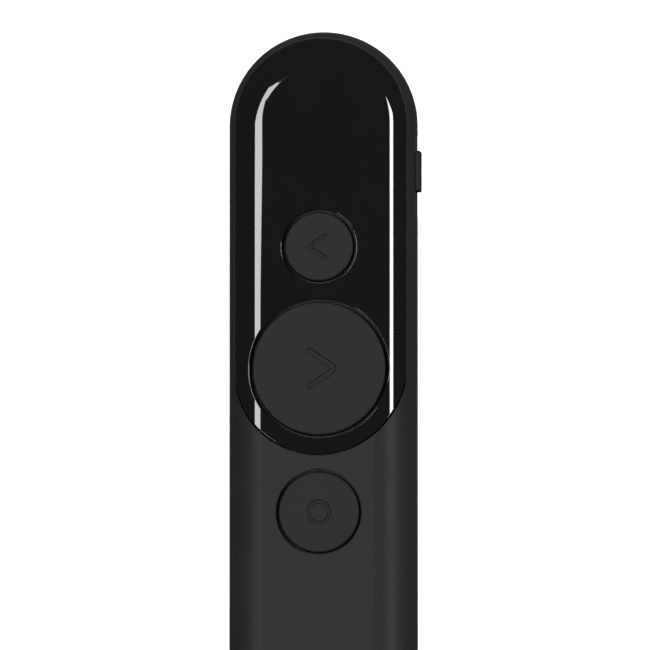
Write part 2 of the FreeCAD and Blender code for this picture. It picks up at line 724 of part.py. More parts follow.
def slider_knob():
    """The ribbed grip outside, a neck through the wall and a fork plate inside."""
    floor = f"({HALF_WIDTH} - sizes.scoop_depth + sizes.knob_clearance)"
    crown = f"({HALF_WIDTH} + sizes.knob_stand)"
    inside = f"({HALF_WIDTH} - sizes.wall - sizes.knob_clearance)"
    plate = f"({inside} - sizes.knob_plate_thickness)"
    grip = block("knob_grip", (f"{crown} - {floor}", "sizes.knob_length", "sizes.knob_height"),
                 (f"({crown} + {floor}) / 2", SLIDER_Y), f"{SEAM_Z} - sizes.knob_height / 2")
    root = f"({floor} + sizes.knob_joint)"
    neck = block("knob_neck", (f"{root} - {plate}", "sizes.knob_neck_length", "sizes.knob_neck_height"),
                 (f"({root} + {plate}) / 2", SLIDER_Y), f"{SEAM_Z} - sizes.knob_neck_height / 2")
    back = block("knob_plate",
                 ("sizes.knob_plate_thickness", "sizes.knob_plate_length",
                  "sizes.knob_neck_height + 2 * sizes.knob_plate_lip"),
                 (f"{plate} + sizes.knob_plate_thickness / 2", SLIDER_Y),
                 f"{SEAM_Z} - sizes.knob_neck_height / 2 - sizes.knob_plate_lip")
    count = int(value("sizes.knob_length / sizes.knob_rib_pitch"))
    grooves = []
    for index in range(count):
        shift = f"(({index} - {count - 1} / 2) * sizes.knob_rib_pitch)"
        grooves.append(block(f"knob_groove_{index + 1}",
                             ("2 * sizes.knob_groove_depth", "sizes.knob_groove_width",
                              "2 * sizes.knob_height"),
                             (crown, f"({SLIDER_Y} + {shift})"), f"{SEAM_Z} - sizes.knob_height"))
    fork = block("knob_fork",
                 ("2 * sizes.knob_plate_thickness", "sizes.lever_length + 2 * sizes.running_gap",
                  "2 * sizes.knob_height"), (plate, SLIDER_Y), f"{SEAM_Z} - sizes.knob_height")
    return cut("slider_knob", fuse("knob_solid", grip, neck, back), fork, *grooves)


def slide_switch():
    """The switch case on the board, with a slot on its +X side for the lever."""
    middle = f"({SLIDER_Y} - sizes.slider_travel / 2)"
    case = block("slide_switch_case",
                 ("sizes.slide_switch_width", "sizes.slide_switch_length", "sizes.slide_switch_height"),
                 (SLIDE_SWITCH_X, middle), BOARD_TOP)
    gap = "2 * sizes.running_gap"
    slot = block("slide_switch_slot",
                 ("sizes.slide_switch_width", f"sizes.lever_length + sizes.slider_travel + {gap}",
                  f"sizes.lever_height + {gap}"),
                 (f"{SLIDE_SWITCH_X} + sizes.slide_switch_width / 2", middle),
                 f"{SEAM_Z} - sizes.lever_height / 2 - sizes.running_gap")
    return cut("slide_switch", case, slot)


def slide_switch_lever():
    """The lever, from inside the switch case to inside the knob's fork."""
    start = f"({SLIDE_SWITCH_X} + sizes.lever_sink)"
    end = f"({HALF_WIDTH} - sizes.wall - sizes.knob_clearance - sizes.lever_sink)"
    return block("slide_switch_lever", (f"{end} - {start}", "sizes.lever_length", "sizes.lever_height"),
                 (f"({start} + {end}) / 2", SLIDER_Y), f"{SEAM_Z} - sizes.lever_height / 2")


# ---------------------------------------------------------------- boards and what they carry

def main_board():
    """The long circuit board: round at the nose, square at the handle end, drilled for the screws."""
    body = document.addObject("PartDesign::Body", "main_board_blank")
    sketch = new_sketch(body, "main_board_plan")
    stadium(sketch, BOARD_HALF, NOSE_Y, BOARD_TAIL_Y)
    pad(body, "main_board_slab", sketch, "sizes.board_thickness")
    move(body, z=BOARD_Z)
    square_end = block("main_board_end",
                       ("2 * sizes.body_width", "sizes.body_length", "sizes.body_thickness"),
                       ("0", f"({BOARD_TAIL_Y} - sizes.body_length / 2)"), "0")
    holes = [disc(f"main_board_{name}_hole", "sizes.screw_radius + sizes.screw_clearance",
                  "sizes.body_thickness", place, "0")
             for name, place, under, top in screw_posts()[:2]]
    return cut("main_board", body, square_end, *holes)


def usb_board():
    """The small board at the tail: wide where the handle is, narrow inside the tail's arc."""
    plate = block("usb_board_blank",
                  ("2 * (sizes.usb_board_half_width + sizes.usb_board_shoulder)",
                   "sizes.usb_board_end + sizes.usb_board_front", "sizes.board_thickness"),
                  ("0", f"({TAIL_Y} + (sizes.usb_board_front - sizes.usb_board_end) / 2)"), USB_BOARD_Z)
    corners = [block(f"usb_board_{name}_corner", ("sizes.body_width", "sizes.usb_board_end",
                                                  "sizes.body_thickness"),
                     (f"{sign} (sizes.usb_board_half_width + sizes.body_width / 2)",
                      f"({TAIL_Y} - sizes.usb_board_step - sizes.usb_board_end / 2)"), "0")
               for name, sign in (("right", ""), ("left", "-"))]
    tail_place = screw_posts()[-1][1]
    hole = disc("usb_board_hole", "sizes.screw_radius + sizes.screw_clearance", "sizes.body_thickness",
                tail_place, "0")
    return cut("usb_board", plate, hole, *corners)


def board_part(name, size, x, offset):
    """A rectangular component on the main board, placed back from the nose arc's centre."""
    return block(name, size, (x, f"({NOSE_Y} - {offset})"), BOARD_TOP)


def radio_shield():
    """The pressed can over the radio and processor, open to the board."""
    skin = "sizes.shield_skin"
    can = board_part("shield_can", ("sizes.shield_width", "sizes.shield_length", "sizes.shield_height"),
                     "-sizes.radio_side", "sizes.radio_offset")
    room = board_part("shield_room",
                      (f"sizes.shield_width - 2 * {skin}", f"sizes.shield_length - 2 * {skin}",
                       f"sizes.shield_height - {skin}"), "-sizes.radio_side", "sizes.radio_offset")
    return cut("radio_shield", can, room)


def chip(name, width, x, offset):
    """A square flat chip on the main board."""
    return board_part(name, (width, width, "sizes.chip_thickness"), x, offset)


def board_chips():
    """What the main board carries besides its switches and connectors."""
    return [chip("processor", "sizes.processor_width", "-sizes.radio_side", "sizes.radio_offset"),
            chip("motion_sensor", "sizes.sensor_width", "0", "sizes.sensor_offset"),
            chip("charge_chip", "sizes.charge_chip_width", "-sizes.charge_chip_side",
                 "sizes.charge_chip_offset"),
            board_part("radio_antenna",
                       ("sizes.antenna_width", "sizes.antenna_length", "sizes.antenna_height"),
                       "0", "(-sizes.antenna_lead)"),
            board_part("status_light", ("sizes.light_width", "sizes.light_length", "sizes.light_height"),
                       "sizes.light_side", "(-sizes.light_lead)")]


def light_pipe():
    """The clear rod that carries the status light to the underside of the inlay."""
    bottom = f"({BOARD_TOP} + sizes.light_height + sizes.light_pipe_gap)"
    return disc("light_pipe", "sizes.light_pipe_radius",
                f"sizes.body_thickness - {PANEL_BED} - {bottom}", LIGHT_PLACE, bottom)


def haptic_motor():
    """The coin motor that makes the controller buzz."""
    return disc("haptic_motor", "sizes.motor_radius", "sizes.motor_height", MOTOR_PLACE,
                f"{BOARD_TOP} + sizes.motor_tape")


def motor_tape():
    """The adhesive disc under the motor."""
    return disc("motor_tape", "sizes.motor_radius - sizes.motor_tape_margin", "sizes.motor_tape",
                MOTOR_PLACE, BOARD_TOP)


def board_passives():
    """Small ceramic capacitors and resistors, two rows between the switches."""
    chips = []
    size = ("sizes.passive_width", "sizes.passive_length", "sizes.passive_height")
    for index in range(PASSIVES_PER_ROW):
        for side, sign in (("left", "-"), ("right", "")):
            chips.append(board_part(f"passive_{side}_{index + 1}", size, f"{sign}sizes.passive_side",
                                    f"(sizes.passive_offset + {index} * sizes.passive_pitch)"))
    return group("board_passives", *chips)


# ---------------------------------------------------------------- power and charging

def battery():
    """The pouch cell, with its long edges rounded."""
    body = document.addObject("PartDesign::Body", "battery_cell")
    sketch = new_sketch(body, "battery_plan")
    half_x, half_y = "sizes.battery_width / 2", f"{BATTERY_LENGTH} / 2"
    polygon(sketch, ((half_x, half_y), (f"-{half_x}", half_y), (f"-{half_x}", f"-{half_y}"),
                     (half_x, f"-{half_y}")))
    slab = pad(body, "battery_slab", sketch, "sizes.battery_height")
    document.recompute()
    lengthwise = [f"Edge{index}" for index, edge in enumerate(slab.Shape.Edges, start=1)
                  if edge.BoundBox.YLength > value(BATTERY_LENGTH) - TOUCH]
    round_edges(body, "battery_edges", slab, lengthwise, "sizes.battery_rounding")
    return move(body, "0", BATTERY_Y, BATTERY_Z)


def battery_foam():
    """The foam strip that the cell lies on."""
    return block("battery_foam",
                 ("sizes.battery_width - 2 * sizes.foam_margin", f"{BATTERY_LENGTH} - 2 * sizes.foam_margin",
                  "sizes.battery_foam"), ("0", BATTERY_Y), FLOOR_Z)


def battery_header():
    """The connector that the battery's leads end in."""
    return board_part("battery_header",
                      ("sizes.header_width", "sizes.header_length", "sizes.header_height"),
                      "-sizes.header_side", "(sizes.board_tail_offset - sizes.header_lead)")


def battery_leads():
    """Two short arched wires from the battery's front end to the header."""
    start_y = value(BATTERY_FRONT)
    end_y = value(f"{BOARD_TAIL_Y} + sizes.header_lead - sizes.header_length / 2")
    height = value(f"{BOARD_TOP} + sizes.header_height / 2")
    rise, radius = value("sizes.lead_rise"), value("sizes.lead_radius")
    room = value("sizes.body_thickness")
    wires = []
    for side in (-0.5, 0.5):
        x = side * value("sizes.lead_spacing") - value("sizes.header_side")
        middle = Vector(x, (start_y + end_y) / 2, height + rise)
        arc = Part.Arc(Vector(x, start_y, height), middle, Vector(x, end_y, height))
        path = Part.Wire([arc.toShape()])
        tangent = arc.tangent(arc.FirstParameter)[0]
        profile = Part.Wire([Part.makeCircle(radius, Vector(x, start_y, height), tangent)])
        wire = path.makePipeShell([profile], True, False)
        ends = [Part.makeBox(room, room, room, Vector(x - room / 2, edge, height - room / 2))
                for edge in (start_y - room, end_y)]
        wires.append(wire.cut(ends[0]).cut(ends[1]))
    leads = document.addObject("Part::Feature", "battery_leads")
    leads.Shape = Part.makeCompound([solid for wire in wires for solid in wire.Solids])
    return leads


def charge_socket():
    """The pressed-steel socket, open at the tail."""
    outside = socket_form("socket_outside", "0", "sizes.socket_length", SOCKET_MOUTH)
    inside = socket_form("socket_inside", "(-sizes.socket_wall)", "sizes.socket_length",
                         f"({SOCKET_MOUTH} - sizes.socket_wall)")
    return cut("charge_socket", outside, inside)


def socket_tongue():
    """The contact tongue inside the socket."""
    root = f"({SOCKET_MOUTH} + sizes.socket_length - sizes.socket_wall)"
    return block("socket_tongue", ("sizes.tongue_width", "sizes.tongue_length", "sizes.tongue_thickness"),
                 ("0", f"({root} - sizes.tongue_length / 2)"), f"{SEAM_Z} - sizes.tongue_thickness / 2")


def flex_sockets():
    """The two low connectors that the flexible link plugs into."""
    size = ("sizes.flex_width + 2 * sizes.flex_plug_margin", "sizes.flex_plug_length",
            "sizes.flex_plug_height")
    front = block("flex_front_plug", size, ("sizes.flex_side", FLEX_FRONT_Y), BOARD_TOP)
    rear = block("flex_rear_plug", size, ("sizes.flex_side", FLEX_REAR_Y), USB_BOARD_TOP)
    return group("flex_sockets", front, rear)


def board_flex():
    """The flexible link: out of one connector, over the battery and down to the other."""
    over = f"({BATTERY_Z} + sizes.battery_height + sizes.flex_clearance)"
    front, rear = f"({BOARD_TOP} + sizes.flex_plug_height)", f"({USB_BOARD_TOP} + sizes.flex_plug_height)"
    start, end = f"{FLEX_FRONT_Y} + sizes.flex_grip", f"{FLEX_REAR_Y} - sizes.flex_grip"
    front_bend, rear_bend = f"{FLEX_FRONT_Y} - sizes.flex_front_run", f"{FLEX_REAR_Y} + sizes.flex_rear_run"
    thick, mitre = "sizes.flex_thickness", "sizes.flex_thickness / 2"
    body = document.addObject("PartDesign::Body", "board_flex")
    sketch = new_sketch(body, "flex_profile", "YZ_Plane")
    polygon(sketch, ((start, front), (front_bend, front), (BATTERY_FRONT, over), (BATTERY_BACK, over),
                     (rear_bend, rear), (end, rear), (end, f"{rear} + {thick}"),
                     (f"{rear_bend} - {mitre}", f"{rear} + {thick}"),
                     (f"{BATTERY_BACK} - {mitre}", f"{over} + {thick}"),
                     (f"{BATTERY_FRONT} + {mitre}", f"{over} + {thick}"),
                     (f"{front_bend} + {mitre}", f"{front} + {thick}"), (start, f"{front} + {thick}")))
    strip = pad(body, "flex_strip", sketch, "sizes.flex_width")
    strip.Midplane = True
    return move(body, x="sizes.flex_side")


# ---------------------------------------------------------------- assembly

def make_parts():
    """Every sub-part, each an object of the document whose label names its file."""
    parts = list(housing_halves())
    parts += [gloss_panel(), panel_film(), case_screws(), screw_plugs()]
    parts += [chevron_button("back", -1), chevron_button("next", 1), ring_button("home")]
    for which in BUTTONS:
        parts += [button_foot(which), tact_switch(which), switch_plunger(which)]
    parts += [slider_knob(), slide_switch(), slide_switch_lever()]
    parts += [main_board(), usb_board(), radio_shield(), light_pipe(), haptic_motor(), motor_tape()]
    parts += [*board_chips(), board_passives()]
    parts += [battery(), battery_foam(), battery_header(), battery_leads()]
    parts += [charge_socket(), socket_tongue(), flex_sockets(), board_flex()]
    return parts


def check(parts):
    """Stops if any object of the document failed or any sub-part isn't a sound solid."""
    document.recompute()
    for thing in document.Objects:
        if "Invalid" in thing.State or "Error" in thing.State:
            raise RuntimeError(f"{thing.Name}: {thing.State}")
    for part in parts:
        if part.Shape.isNull() or not part.Shape.isValid() or not part.Shape.Solids:
            raise RuntimeError(f"{part.Label} has no sound solid")


subparts = make_parts()
check(subparts)
os.makedirs("parts", exist_ok=True)
for subpart in subparts:
    subpart.Shape.exportStep(os.path.join("parts", f"{subpart.Label}.step"))
    box = subpart.Shape.BoundBox
    print(f"{subpart.Label:22s} solids {len(subpart.Shape.Solids)}  volume {subpart.Shape.Volume:9.2f}  "
          f"x {box.XMin:7.2f} {box.XMax:7.2f}  y {box.YMin:7.2f} {box.YMax:7.2f}  "
          f"z {box.ZMin:6.2f} {box.ZMax:6.2f}")
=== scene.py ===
import json
import math

import bpy
from mathutils import Matrix, Vector
from mathutils.geometry import delaunay_2d_cdt


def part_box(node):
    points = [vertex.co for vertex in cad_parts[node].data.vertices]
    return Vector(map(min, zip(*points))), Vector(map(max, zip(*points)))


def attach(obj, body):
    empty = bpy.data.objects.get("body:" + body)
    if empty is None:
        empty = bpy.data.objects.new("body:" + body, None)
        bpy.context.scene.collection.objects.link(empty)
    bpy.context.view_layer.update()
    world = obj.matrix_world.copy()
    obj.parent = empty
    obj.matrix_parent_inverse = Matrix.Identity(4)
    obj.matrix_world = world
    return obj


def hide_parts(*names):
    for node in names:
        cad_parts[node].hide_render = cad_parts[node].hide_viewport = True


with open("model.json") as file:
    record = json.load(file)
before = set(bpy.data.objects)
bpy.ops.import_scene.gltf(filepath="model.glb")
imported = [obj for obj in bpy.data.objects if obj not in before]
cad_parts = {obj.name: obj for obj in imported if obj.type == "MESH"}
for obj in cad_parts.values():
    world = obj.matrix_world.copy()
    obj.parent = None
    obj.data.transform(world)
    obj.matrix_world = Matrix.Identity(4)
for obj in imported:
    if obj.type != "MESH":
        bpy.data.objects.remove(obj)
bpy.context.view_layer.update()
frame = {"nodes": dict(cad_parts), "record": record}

MM = 0.001
UP = Vector((0, 0, 1))

# ---------------------------------------------------------------- sizes of the outer form

HALF_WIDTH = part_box("top_shell")[1][0]
TOP_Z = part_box("top_shell")[1][2]
NOSE_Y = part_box("top_shell")[1][1] - HALF_WIDTH     # centre of the nose arc
TAIL_Y = -NOSE_Y                                    # centre of the tail arc
SHOULDER = 5.7 * MM
FLAT = HALF_WIDTH - SHOULDER                        # the button face is level this far from the middle
PANEL_REAR_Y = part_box("gloss_panel")[0][1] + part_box("gloss_panel")[1][0]   # centre of its rear arc
PANEL_SPREAD = 0.05 * MM                # narrows the fine gap round the inlay
PANEL_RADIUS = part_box("gloss_panel")[1][0] + PANEL_SPREAD
PANEL_THICKNESS = 0.8 * MM
PANEL_ROUNDING = 0.18 * MM
BUTTON_FLANGE = 1.0 * MM
BUTTON_RIM = 1.2 * MM
BUTTON_SKIN = 1.0 * MM
BUTTON_COLLAR = 0.8 * MM
BUTTON_STEM = 2.0 * MM
BUTTON_ROUNDING = 0.3 * MM
BUTTON_GAP = 0.45 * MM
ICON_DEPTH = 0.2 * MM
ICON_SOFTNESS = 0.08 * MM


# ---------------------------------------------------------------- shared helpers

def grey(level):
    """A neutral colour."""
    return (level, level, level)


def new_mesh_object(name, points, faces):
    """An object in the scene, with a mesh of its own."""
    mesh = bpy.data.meshes.new(name)
    mesh.from_pydata(points, [], faces)
    thing = bpy.data.objects.new(name, mesh)
    bpy.context.scene.collection.objects.link(thing)
    return thing


# ---------------------------------------------------------------- camera

VIEW_SIDE_TILT = math.radians(7.0)      # leans to the slide switch, so that flank shows
VIEW_TAIL_TILT = math.radians(4.5)      # leans to the handle end
VIEW_DISTANCE = 2.5
VIEW_FIELD = 96.6 * MM                  # width of what the frame takes in at the object
VIEW_CENTRE = (-0.53 * MM, 22.3 * MM)   # the frame's middle, right and up from the origin's image
VIEW_LIMIT = 20                         # the camera draws nothing beyond this
SENSOR_WIDTH = 36.0


def make_camera():
    """A long lens over the button face, almost square to it, cutting off the handle."""
    toward = Vector((math.sin(VIEW_SIDE_TILT), -math.sin(VIEW_TAIL_TILT), 0))
    toward.z = math.sqrt(1 - toward.length_squared)
    up = (Vector((0, 1, 0)) - toward * toward.y).normalized()
    right = up.cross(toward)
    place = toward * VIEW_DISTANCE + right * VIEW_CENTRE[0] + up * VIEW_CENTRE[1]
    camera = bpy.data.objects.new("camera", bpy.data.cameras.new("camera"))
    bpy.context.scene.collection.objects.link(camera)
    camera.matrix_world = Matrix.Translation(place) @ Matrix((right, up, toward)).transposed().to_4x4()
    camera.data.sensor_width = SENSOR_WIDTH
    camera.data.lens = SENSOR_WIDTH * VIEW_DISTANCE / VIEW_FIELD
    camera.data.clip_end = VIEW_LIMIT
    bpy.context.scene.camera = camera


# ---------------------------------------------------------------- studio

SOFTBOX_HEIGHT = 1.5
FLOOR_REACH = 3.0
FLOOR_DROP = 0.0002                     # keeps the floor just clear of the flat back
FLOOR_GREY = 0.8
FLOOR_ROUGHNESS = 0.9
FLOOR_GLOW = 0.9
BACKDROP = 1.0                          # grey of the world that the camera sees
SURROUND = 0.072                        # grey of the world that lights the object

# Corners of each softbox, as slopes from the vertical: across the object, then along it. The rear one
# shows only in the gloss.
LEFT_SOFTBOX = ((-0.28, -0.02), (-0.635, -0.02), (-0.635, 0.13), (-0.44, 0.27), (-0.39, 0.32),
                (-0.23, 0.228), (-0.14, 0.145), (-0.25, 0.18), (-0.18, 0.12), (-0.28, 0.1))
LEFT_SOFTBOX_REAR = ((-0.28, -0.02), (-0.28, -0.17), (-0.4, -0.33), (-0.4, -0.02))
RIGHT_SOFTBOX = ((0.83, -0.02), (1.2, -0.02), (1.2, 0.35), (0.855, 0.56))

LEFT_STRENGTH = 14
RIGHT_STRENGTH = 24.5

# Upright lights round the object: the way each one lies, in degrees from the slide-switch side, and
# how bright it is.
WALL_LIGHTS = ((0, 1.3), (90, 2.0), (180, 1.3), (270, 0.5))
WALL_DISTANCE = 1.6
WALL_HALF_WIDTH = 0.8
WALL_BOTTOM = 0.05
WALL_TOP = 0.75


def light_panel(name, points, strength):
    """A glowing sheet that the camera doesn't see."""
    panel = new_mesh_object(name, points, [range(len(points))])
    glow = bpy.data.materials.new(name)
    glow.use_nodes = True
    nodes = glow.node_tree.nodes
    nodes.clear()
    light = nodes.new("ShaderNodeEmission")
    light.inputs["Strength"].default_value = strength
    glow.node_tree.links.new(light.outputs[0], nodes.new("ShaderNodeOutputMaterial").inputs[0])
    panel.data.materials.append(glow)
    panel.visible_camera = False
    return panel


def softbox(name, corners, strength):
    """A flat light panel overhead."""
    return light_panel(name, [Vector((across, along, 1)) * SOFTBOX_HEIGHT for across, along in corners],
                       strength)


def make_wall_lights():
    """Upright panels round the object that lift its flanks; the gloss doesn't mirror them."""
    for index, (turn, strength) in enumerate(WALL_LIGHTS):
        middle = math.radians(turn)
        out = Vector((math.cos(middle), math.sin(middle), 0))
        along = Vector((-out.y, out.x, 0)) * WALL_HALF_WIDTH
        corners = [out * WALL_DISTANCE + along * side + UP * height
                   for side, height in ((-1, WALL_BOTTOM), (1, WALL_BOTTOM), (1, WALL_TOP), (-1, WALL_TOP))]
        panel = light_panel(f"wall_light_{index + 1}", corners, strength)
        panel.visible_glossy = False


def make_floor():
    """A white floor that the camera sees and the object doesn't mirror."""
    corners = [(-FLOOR_REACH, -FLOOR_REACH, 0), (FLOOR_REACH, -FLOOR_REACH, 0),
               (FLOOR_REACH, FLOOR_REACH, 0), (-FLOOR_REACH, FLOOR_REACH, 0)]
    floor = new_mesh_object("floor", corners, [(0, 1, 2, 3)])
    white = bpy.data.materials.new("floor_white")
    white.use_nodes = True
    shader = white.node_tree.nodes["Principled BSDF"]
    shader.inputs["Base Color"].default_value = (*grey(FLOOR_GREY), 1)
    shader.inputs["Roughness"].default_value = FLOOR_ROUGHNESS
    shader.inputs["Emission Color"].default_value = (1, 1, 1, 1)
    shader.inputs["Emission Strength"].default_value = FLOOR_GLOW
    floor.data.materials.append(white)
    floor.location.z = -FLOOR_DROP
    floor.visible_glossy = False
    floor.visible_diffuse = False


def make_world():
    """A dim surround for the object, behind a white backdrop for the camera."""
    world = bpy.data.worlds.new("studio")
    world.use_nodes = True
    nodes, links = world.node_tree.nodes, world.node_tree.links
    surround = nodes["Background"]
    surround.inputs["Color"].default_value = (*grey(SURROUND), 1)
    backdrop = nodes.new("ShaderNodeBackground")
    backdrop.inputs["Color"].default_value = (*grey(BACKDROP), 1)
    ray = nodes.new("ShaderNodeLightPath")
    choice = nodes.new("ShaderNodeMixShader")
    links.new(ray.outputs["Is Camera Ray"], choice.inputs[0])
    links.new(surround.outputs[0], choice.inputs[1])
    links.new(backdrop.outputs[0], choice.inputs[2])
    links.new(choice.outputs[0], nodes["World Output"].inputs["Surface"])
    bpy.context.scene.world = world


def make_studio():
    """Two softboxes that show as strips in the gloss, soft light from all sides, and a white ground."""
    softbox("left_softbox", LEFT_SOFTBOX, LEFT_STRENGTH)
    rear = softbox("left_softbox_rear", LEFT_SOFTBOX_REAR, LEFT_STRENGTH)
    rear.visible_diffuse = False
    softbox("right_softbox", RIGHT_SOFTBOX, RIGHT_STRENGTH)
    make_wall_lights()
    make_floor()
    make_world()
    bpy.context.scene.view_settings.view_transform = "Standard"


# ---------------------------------------------------------------- materials

CLOUD_SIZE = 9 * MM                     # of the mottling
CLOUD_DETAIL = 6
GRAIN_DETAIL = 4
LINE_WAVINESS = 2
FINE_SHARE = 0.5                        # of the grain, against the mottling
TINT_RANGE = (0.45, 0.95)               # of the mottling and grain together, from dark to light
WEAR_RANGE = (0.4, 1.0)                 # the same, from the smoothest to the roughest


def finish(name, dark, light, rough, grain, relief, pattern="noise", stretch=(1, 1, 1), **fixed):
    """A procedural surface: mottled between two colours, with a fine relief and uneven roughness.

    rough is the least and the greatest roughness. grain is the size of the relief's texture and relief
    its height, both in metres; pattern is noise, cells or lines; stretch scales the texture's axes.
    fixed holds values that are the same all over, by the shader's own socket names.
    """
    surface = bpy.data.materials.new(name)
    surface.use_nodes = True
    nodes, links = surface.node_tree.nodes, surface.node_tree.links
    shader = nodes["Principled BSDF"]
    for socket, number in fixed.items():
        shader.inputs[socket.replace("_", " ")].default_value = number

    place = nodes.new("ShaderNodeTexCoord")
    turned = nodes.new("ShaderNodeMapping")
    turned.inputs["Scale"].default_value = stretch
    links.new(place.outputs["Object"], turned.inputs["Vector"])

    cloud = nodes.new("ShaderNodeTexNoise")
    cloud.inputs["Scale"].default_value = 1 / CLOUD_SIZE
    cloud.inputs["Detail"].default_value = CLOUD_DETAIL
    links.new(place.outputs["Object"], cloud.inputs["Vector"])

    texture = nodes.new({"noise": "ShaderNodeTexNoise", "cells": "ShaderNodeTexVoronoi",
                         "lines": "ShaderNodeTexWave"}[pattern])
    texture.inputs["Scale"].default_value = 1 / grain
    if pattern == "noise":
        texture.inputs["Detail"].default_value = GRAIN_DETAIL
    if pattern == "lines":
        texture.inputs["Distortion"].default_value = LINE_WAVINESS
    links.new(turned.outputs["Vector"], texture.inputs["Vector"])
    fine = texture.outputs["Distance"] if pattern == "cells" else texture.outputs["Fac"]

    blend = nodes.new("ShaderNodeMath")
    blend.operation = "MULTIPLY_ADD"
    blend.inputs[1].default_value = FINE_SHARE
    links.new(fine, blend.inputs[0])
    links.new(cloud.outputs["Fac"], blend.inputs[2])

    tint = nodes.new("ShaderNodeValToRGB")
    for stop, position, colour in zip(tint.color_ramp.elements, TINT_RANGE, (dark, light)):
        stop.position = position
        stop.color = (*colour, 1)
    links.new(blend.outputs[0], tint.inputs["Fac"])
    links.new(tint.outputs["Color"], shader.inputs["Base Color"])

    wear = nodes.new("ShaderNodeMapRange")
    wear.inputs["From Min"].default_value, wear.inputs["From Max"].default_value = WEAR_RANGE
    wear.inputs["To Min"].default_value, wear.inputs["To Max"].default_value = rough
    links.new(blend.outputs[0], wear.inputs["Value"])
    links.new(wear.outputs["Result"], shader.inputs["Roughness"])

    bump = nodes.new("ShaderNodeBump")
    bump.inputs["Strength"].default_value = 1.0
    bump.inputs["Distance"].default_value = relief
    links.new(fine, bump.inputs["Height"])
    links.new(bump.outputs["Normal"], shader.inputs["Normal"])
    return surface


def make_finishes():
    """One material for each of the record's slots."""
    return {
        "soft_touch_plastic": finish("soft_touch_plastic", grey(0.0195), grey(0.0235), (0.46, 0.56),
                                     0.22 * MM, 0.004 * MM, Specular_IOR_Level=0.19,
                                     Sheen_Weight=0.12, Sheen_Roughness=0.3),
        "gloss_panel": finish("piano_black", grey(0.0068), grey(0.0078), (0.015, 0.035), 4 * MM, 0.0004 * MM,
                              IOR=1.5),
        "button_plastic": finish("button_plastic", grey(0.0165), grey(0.0195), (0.5, 0.6), 0.16 * MM,
                                 0.003 * MM, Specular_IOR_Level=0.2),
        "knob_plastic": finish("knob_plastic", grey(0.018), grey(0.023), (0.55, 0.68), 0.14 * MM,
                               0.004 * MM, Specular_IOR_Level=0.2),
        "adhesive": finish("adhesive", grey(0.02), grey(0.03), (0.35, 0.6), 0.4 * MM, 0.01 * MM),
        "steel": finish("steel", (0.52, 0.52, 0.53), (0.62, 0.62, 0.62), (0.2, 0.38), 0.3 * MM, 0.003 * MM,
                        stretch=(1, 12, 1), Metallic=1.0),
        "rubber": finish("rubber", grey(0.016), grey(0.026), (0.75, 0.9), 0.25 * MM, 0.008 * MM),
        "switch_body": finish("switch_body", grey(0.03), grey(0.045), (0.4, 0.55), 0.2 * MM, 0.005 * MM),
        "switch_plunger": finish("switch_plunger", (0.3, 0.2, 0.09), (0.36, 0.25, 0.12), (0.35, 0.5),
                                 0.2 * MM, 0.004 * MM),
        "circuit_board": finish("circuit_board", (0.004, 0.03, 0.012), (0.012, 0.07, 0.03), (0.25, 0.4),
                                1.1 * MM, 0.02 * MM, pattern="lines", Coat_Weight=0.4),
        "clear_plastic": finish("clear_plastic", (0.85, 0.87, 0.88), (0.95, 0.95, 0.95), (0.05, 0.12),
                                0.5 * MM, 0.002 * MM, Transmission_Weight=0.9),
        "chip_epoxy": finish("chip_epoxy", grey(0.012), grey(0.03), (0.55, 0.75), 0.09 * MM, 0.006 * MM,
                             pattern="cells"),
        "chip_ceramic": finish("chip_ceramic", (0.22, 0.16, 0.1), (0.34, 0.26, 0.17), (0.4, 0.6), 0.12 * MM,
                               0.004 * MM, pattern="cells"),
        "battery_foil": finish("battery_foil", (0.45, 0.46, 0.48), (0.6, 0.61, 0.62), (0.22, 0.45), 1.6 * MM,
                               0.05 * MM, Metallic=0.9),
        "foam": finish("foam", grey(0.03), grey(0.07), (0.9, 1.0), 0.35 * MM, 0.12 * MM, pattern="cells"),
        "socket_nylon": finish("socket_nylon", grey(0.02), grey(0.035), (0.4, 0.55), 0.2 * MM, 0.005 * MM),
        "wire_red": finish("wire_red", (0.35, 0.012, 0.01), (0.5, 0.03, 0.02), (0.35, 0.5), 0.3 * MM,
                           0.006 * MM),
        "polyimide": finish("polyimide", (0.32, 0.13, 0.015), (0.5, 0.22, 0.04), (0.2, 0.35), 0.5 * MM,
                            0.01 * MM, pattern="lines", stretch=(1, 0.05, 1)),
    }


def node_slots():
    """Which of the record's material slots each node takes."""
    return {entry["node"]: entry["material_slot"] for entry in frame["record"]["subparts"]}


# ---------------------------------------------------------------- mesh building

PLAN_TOLERANCE = 1e-7                   # millimetres
ROUND_STEPS = 6                         # of an edge's rounding
STEP_SHARES = (0, 0.25, 0.5, 0.75, 1)   # of the way down the side of a groove in the knob


